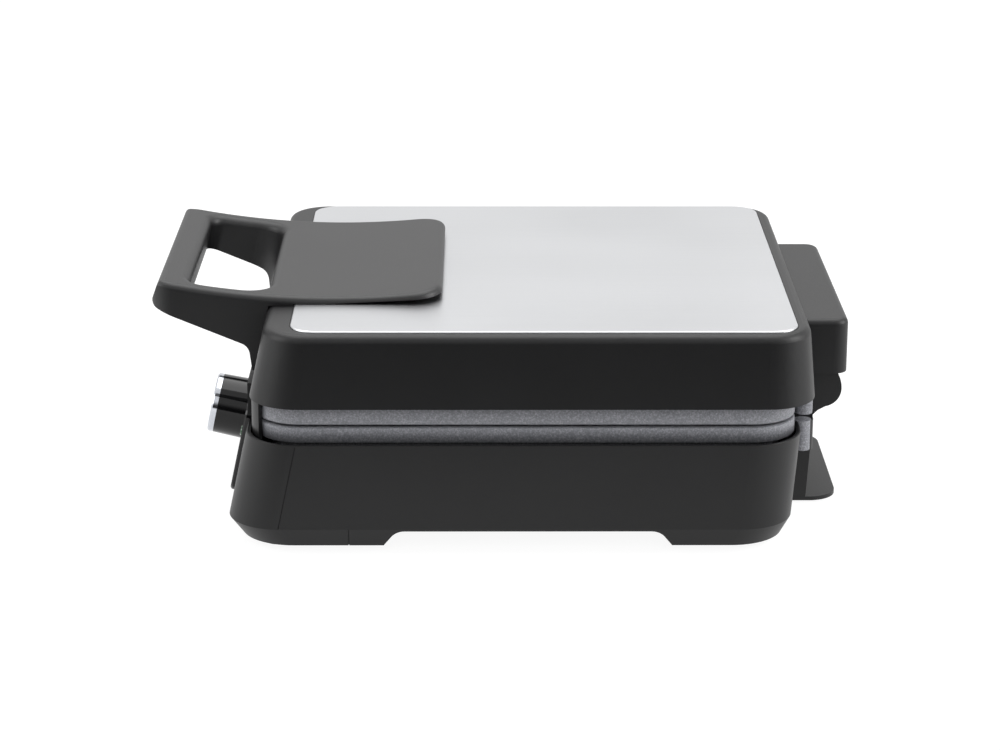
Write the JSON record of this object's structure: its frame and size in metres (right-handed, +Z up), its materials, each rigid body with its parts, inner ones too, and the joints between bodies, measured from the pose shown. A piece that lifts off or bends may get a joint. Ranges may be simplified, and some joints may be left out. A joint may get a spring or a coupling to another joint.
{
  "type": "belgian waffle maker",
  "caption": "Countertop waffle maker: black base and hinged lid with steel top, cast grid plates, bail handle, knob and rear foot.",
  "frame": {"origin": "on the table, under the middle of the object's box", "axes": "+Z up, -Y to the front with handle and knob, +Y to the hinge, X across the width"},
  "size_m": [0.256, 0.3362, 0.121],
  "materials": {
    "black_plastic": "satin moulded black",
    "gloss_black_plastic": "gloss black",
    "handle_plastic": "soft satin black",
    "coated_cast_aluminium": "dark grey speckled non-stick coating",
    "brushed_steel_sheet": "fine brushed stainless",
    "chrome_trim": "bright plated",
    "hinge_steel": "zinc plated",
    "reflector_sheet": "bare rolled sheet",
    "element_tube": "heat-darkened tube",
    "ceramic_block": "glazed insulator",
    "red_lens": "clear red lens",
    "green_lens": "clear green lens",
    "rubber": "matte black"
  },
  "bodies": {
    "base": {"base_shell": "black_plastic", "front_cover": "black_plastic", "control_fascia": "gloss_black_plastic", "bottom_cover": "black_plastic", "lower_waffle_plate": "coated_cast_aluminium", "lower_heating_element": "element_tube", "lower_reflector": "reflector_sheet", "thermostat": "black_plastic", "terminal_block": "ceramic_block", "power_lens": "red_lens", "ready_lens": "green_lens", "cord_gland": "rubber", "hinge_tower": "black_plastic", "hinge_rod": "hinge_steel", "rear_foot": "black_plastic", "rear_pad_left": "rubber", "rear_pad_right": "rubber", "foot_front_left": "rubber", "foot_front_right": "rubber", "foot_rear_left": "rubber", "foot_rear_right": "rubber"},
    "lid": {"lid_shell": "black_plastic", "top_panel": "brushed_steel_sheet", "handle": "handle_plastic", "plate_carrier": "black_plastic", "upper_waffle_plate": "coated_cast_aluminium", "upper_heating_element": "element_tube", "upper_reflector": "reflector_sheet", "hinge_arm_left": "hinge_steel", "hinge_arm_right": "hinge_steel"},
    "knob": {"knob_body": "gloss_black_plastic", "knob_ring": "chrome_trim", "knob_cap": "gloss_black_plastic"}
  },
  "joints": [
    {"name": "lid_hinge", "type": "hinge", "parent": "base", "child": "lid", "pos_m": [0, 0.15, 0.066], "axis": [-1, 0, 0], "range_deg": [0, 95]},
    {"name": "knob_turn", "type": "hinge", "parent": "base", "child": "knob", "pos_m": [0, -0.12664, 0.0327], "axis": [0, 0.977, -0.213], "range_deg": [0, 270]}
  ]
}
